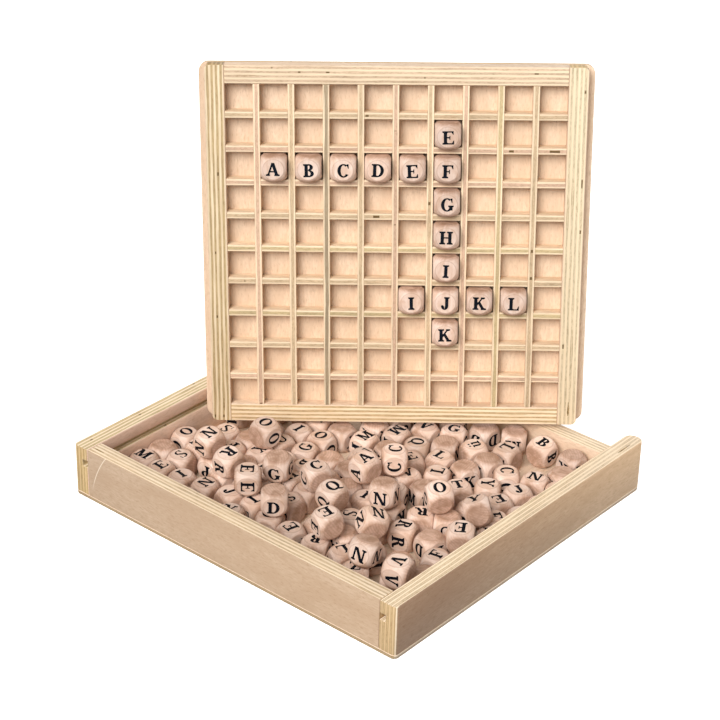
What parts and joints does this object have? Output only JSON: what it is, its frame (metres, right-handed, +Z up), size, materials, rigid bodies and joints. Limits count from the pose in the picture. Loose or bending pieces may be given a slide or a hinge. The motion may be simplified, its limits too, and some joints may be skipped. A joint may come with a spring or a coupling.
{
  "type": "word game box",
  "caption": "Plywood game box with a sliding grid lid used as the playing board, standing in its tray among rounded wooden letter cubes.",
  "frame": {"origin": "centre of the tray's bottom face", "axes": "+Z up, +Y along the grooves towards the low rear wall, +X across the tray to the right"},
  "size_m": [0.2652, 0.2725, 0.2521],
  "materials": {
    "tray_plywood": "sanded birch plywood",
    "lid_plywood": "sanded birch plywood",
    "lid_panel_wood": "sanded veneer",
    "cube_wood": "tumbled hardwood, uncoated",
    "letter_ink": "printed ink"
  },
  "bodies": {
    "tray": {"base_panel": "tray_plywood", "cubes_band_1": "cube_wood", "cubes_band_2": "cube_wood", "cubes_band_3": "cube_wood", "cubes_band_4": "cube_wood", "cubes_band_5": "cube_wood", "front_wall": "tray_plywood", "left_wall": "tray_plywood", "rear_wall": "tray_plywood", "right_wall": "tray_plywood"},
    "lid": {"level_strip_1": "lid_plywood", "level_strip_2": "lid_plywood", "level_strip_3": "lid_plywood", "level_strip_4": "lid_plywood", "level_strip_5": "lid_plywood", "level_strip_6": "lid_plywood", "level_strip_7": "lid_plywood", "level_strip_8": "lid_plywood", "level_strip_9": "lid_plywood", "lid_frame_bottom": "lid_plywood", "lid_frame_left": "lid_plywood", "lid_frame_right": "lid_plywood", "lid_frame_top": "lid_plywood", "lid_panel": "lid_panel_wood", "upright_strip_1": "lid_plywood", "upright_strip_2": "lid_plywood", "upright_strip_3": "lid_plywood", "upright_strip_4": "lid_plywood", "upright_strip_5": "lid_plywood", "upright_strip_6": "lid_plywood", "upright_strip_7": "lid_plywood", "upright_strip_8": "lid_plywood", "upright_strip_9": "lid_plywood"},
    "board_cube_row2_column7": {"board_cube_row2_column7": "cube_wood"},
    "board_cube_row3_column2": {"board_cube_row3_column2": "cube_wood"},
    "board_cube_row3_column3": {"board_cube_row3_column3": "cube_wood"},
    "board_cube_row3_column4": {"board_cube_row3_column4": "cube_wood"},
    "board_cube_row3_column5": {"board_cube_row3_column5": "cube_wood"},
    "board_cube_row3_column6": {"board_cube_row3_column6": "cube_wood"},
    "board_cube_row3_column7": {"board_cube_row3_column7": "cube_wood"},
    "board_cube_row4_column7": {"board_cube_row4_column7": "cube_wood"},
    "board_cube_row5_column7": {"board_cube_row5_column7": "cube_wood"},
    "board_cube_row6_column7": {"board_cube_row6_column7": "cube_wood"},
    "board_cube_row7_column6": {"board_cube_row7_column6": "cube_wood"},
    "board_cube_row7_column7": {"board_cube_row7_column7": "cube_wood"},
    "board_cube_row7_column8": {"board_cube_row7_column8": "cube_wood"},
    "board_cube_row7_column9": {"board_cube_row7_column9": "cube_wood"},
    "board_cube_row8_column7": {"board_cube_row8_column7": "cube_wood"},
    "loose_cube_1": {"loose_cube_1": "cube_wood"},
    "loose_cube_10": {"loose_cube_10": "cube_wood"},
    "loose_cube_11": {"loose_cube_11": "cube_wood"},
    "loose_cube_12": {"loose_cube_12": "cube_wood"},
    "loose_cube_2": {"loose_cube_2": "cube_wood"},
    "loose_cube_3": {"loose_cube_3": "cube_wood"},
    "loose_cube_4": {"loose_cube_4": "cube_wood"},
    "loose_cube_5": {"loose_cube_5": "cube_wood"},
    "loose_cube_6": {"loose_cube_6": "cube_wood"},
    "loose_cube_7": {"loose_cube_7": "cube_wood"},
    "loose_cube_8": {"loose_cube_8": "cube_wood"},
    "loose_cube_9": {"loose_cube_9": "cube_wood"}
  },
  "joints": [
    {"name": "lid_lift", "type": "slide", "parent": "tray", "child": "lid", "axis": [0, 0, 1], "range_m": [0, 0.12]},
    {"name": "board_cube_row2_column7_out", "type": "slide", "parent": "lid", "child": "board_cube_row2_column7", "axis": [0.6157, -0.7748, 0.1437], "range_m": [0, 0.03]},
    {"name": "board_cube_row3_column2_out", "type": "slide", "parent": "lid", "child": "board_cube_row3_column2", "axis": [0.6157, -0.7748, 0.1437], "range_m": [0, 0.03]},
    {"name": "board_cube_row3_column3_out", "type": "slide", "parent": "lid", "child": "board_cube_row3_column3", "axis": [0.6157, -0.7748, 0.1437], "range_m": [0, 0.03]},
    {"name": "board_cube_row3_column4_out", "type": "slide", "parent": "lid", "child": "board_cube_row3_column4", "axis": [0.6157, -0.7748, 0.1437], "range_m": [0, 0.03]},
    {"name": "board_cube_row3_column5_out", "type": "slide", "parent": "lid", "child": "board_cube_row3_column5", "axis": [0.6157, -0.7748, 0.1437], "range_m": [0, 0.03]},
    {"name": "board_cube_row3_column6_out", "type": "slide", "parent": "lid", "child": "board_cube_row3_column6", "axis": [0.6157, -0.7748, 0.1437], "range_m": [0, 0.03]},
    {"name": "board_cube_row3_column7_out", "type": "slide", "parent": "lid", "child": "board_cube_row3_column7", "axis": [0.6157, -0.7748, 0.1437], "range_m": [0, 0.03]},
    {"name": "board_cube_row4_column7_out", "type": "slide", "parent": "lid", "child": "board_cube_row4_column7", "axis": [0.6157, -0.7748, 0.1437], "range_m": [0, 0.03]},
    {"name": "board_cube_row5_column7_out", "type": "slide", "parent": "lid", "child": "board_cube_row5_column7", "axis": [0.6157, -0.7748, 0.1437], "range_m": [0, 0.03]},
    {"name": "board_cube_row6_column7_out", "type": "slide", "parent": "lid", "child": "board_cube_row6_column7", "axis": [0.6157, -0.7748, 0.1437], "range_m": [0, 0.03]},
    {"name": "board_cube_row7_column6_out", "type": "slide", "parent": "lid", "child": "board_cube_row7_column6", "axis": [0.6157, -0.7748, 0.1437], "range_m": [0, 0.03]},
    {"name": "board_cube_row7_column7_out", "type": "slide", "parent": "lid", "child": "board_cube_row7_column7", "axis": [0.6157, -0.7748, 0.1437], "range_m": [0, 0.03]},
    {"name": "board_cube_row7_column8_out", "type": "slide", "parent": "lid", "child": "board_cube_row7_column8", "axis": [0.6157, -0.7748, 0.1437], "range_m": [0, 0.03]},
    {"name": "board_cube_row7_column9_out", "type": "slide", "parent": "lid", "child": "board_cube_row7_column9", "axis": [0.6157, -0.7748, 0.1437], "range_m": [0, 0.03]},
    {"name": "board_cube_row8_column7_out", "type": "slide", "parent": "lid", "child": "board_cube_row8_column7", "axis": [0.6157, -0.7748, 0.1437], "range_m": [0, 0.03]},
    {"name": "loose_cube_1_lift", "type": "slide", "parent": "tray", "child": "loose_cube_1", "axis": [0, 0, 1], "range_m": [0, 0.025]},
    {"name": "loose_cube_10_lift", "type": "slide", "parent": "tray", "child": "loose_cube_10", "axis": [0, 0, 1], "range_m": [0, 0.025]},
    {"name": "loose_cube_11_lift", "type": "slide", "parent": "tray", "child": "loose_cube_11", "axis": [0, 0, 1], "range_m": [0, 0.025]},
    {"name": "loose_cube_12_lift", "type": "slide", "parent": "tray", "child": "loose_cube_12", "axis": [0, 0, 1], "range_m": [0, 0.025]},
    {"name": "loose_cube_2_lift", "type": "slide", "parent": "tray", "child": "loose_cube_2", "axis": [0, 0, 1], "range_m": [0, 0.025]},
    {"name": "loose_cube_3_lift", "type": "slide", "parent": "tray", "child": "loose_cube_3", "axis": [0, 0, 1], "range_m": [0, 0.025]},
    {"name": "loose_cube_4_lift", "type": "slide", "parent": "tray", "child": "loose_cube_4", "axis": [0, 0, 1], "range_m": [0, 0.025]},
    {"name": "loose_cube_5_lift", "type": "slide", "parent": "tray", "child": "loose_cube_5", "axis": [0, 0, 1], "range_m": [0, 0.025]},
    {"name": "loose_cube_6_lift", "type": "slide", "parent": "tray", "child": "loose_cube_6", "axis": [0, 0, 1], "range_m": [0, 0.025]},
    {"name": "loose_cube_7_lift", "type": "slide", "parent": "tray", "child": "loose_cube_7", "axis": [0, 0, 1], "range_m": [0, 0.025]},
    {"name": "loose_cube_8_lift", "type": "slide", "parent": "tray", "child": "loose_cube_8", "axis": [0, 0, 1], "range_m": [0, 0.025]},
    {"name": "loose_cube_9_lift", "type": "slide", "parent": "tray", "child": "loose_cube_9", "axis": [0, 0, 1], "range_m": [0, 0.025]}
  ]
}
